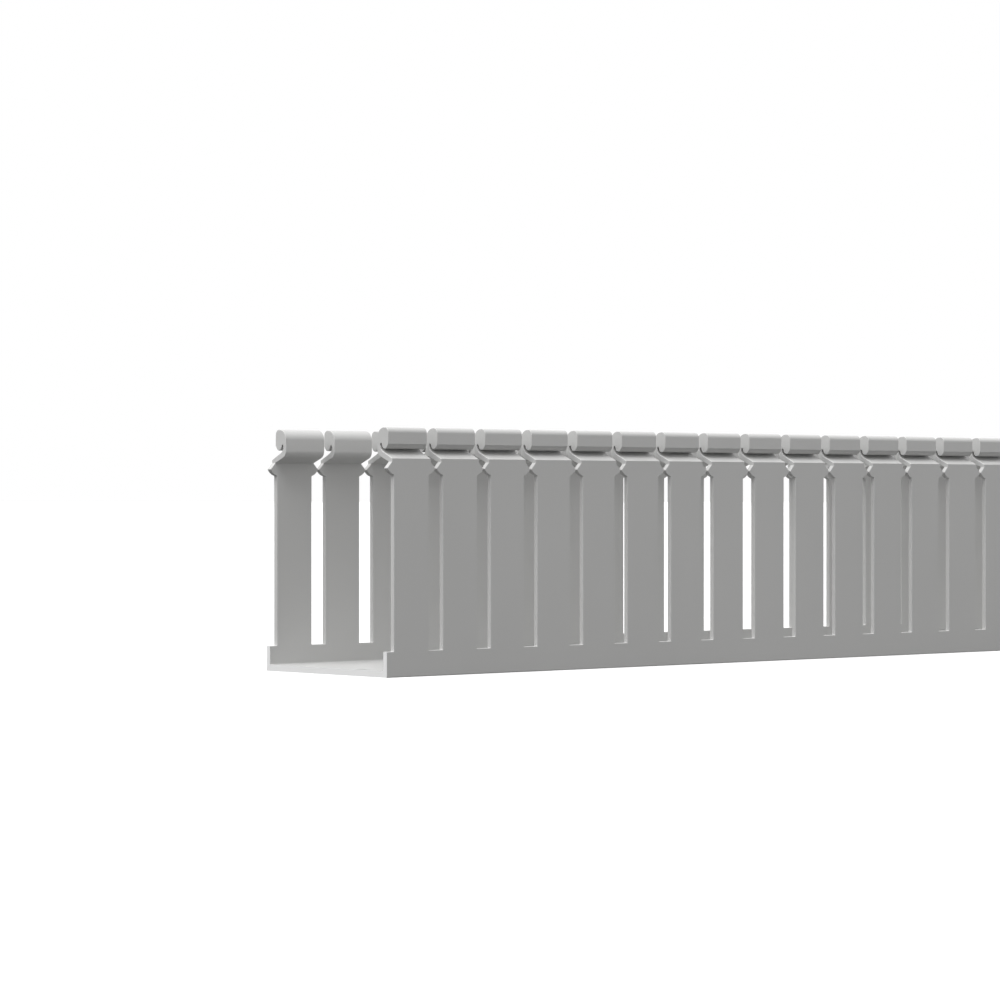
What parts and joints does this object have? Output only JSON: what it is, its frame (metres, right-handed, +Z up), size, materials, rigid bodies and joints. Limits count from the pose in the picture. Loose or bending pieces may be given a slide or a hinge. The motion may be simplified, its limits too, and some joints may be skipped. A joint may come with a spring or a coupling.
{
  "type": "slotted wire duct",
  "caption": "Open-slot U-shaped wire duct in light grey plastic, with snap heads for a cover along both walls and fixing holes in the base.",
  "frame": {"origin": "middle of the underside of the base, halfway along the length", "axes": "+X along the duct, +Y across it, +Z up out of the open side"},
  "size_m": [2, 0.06, 0.0774],
  "materials": {
    "rigid_pvc": "satin"
  },
  "bodies": {
    "root": {"duct": "rigid_pvc"}
  },
  "joints": []
}
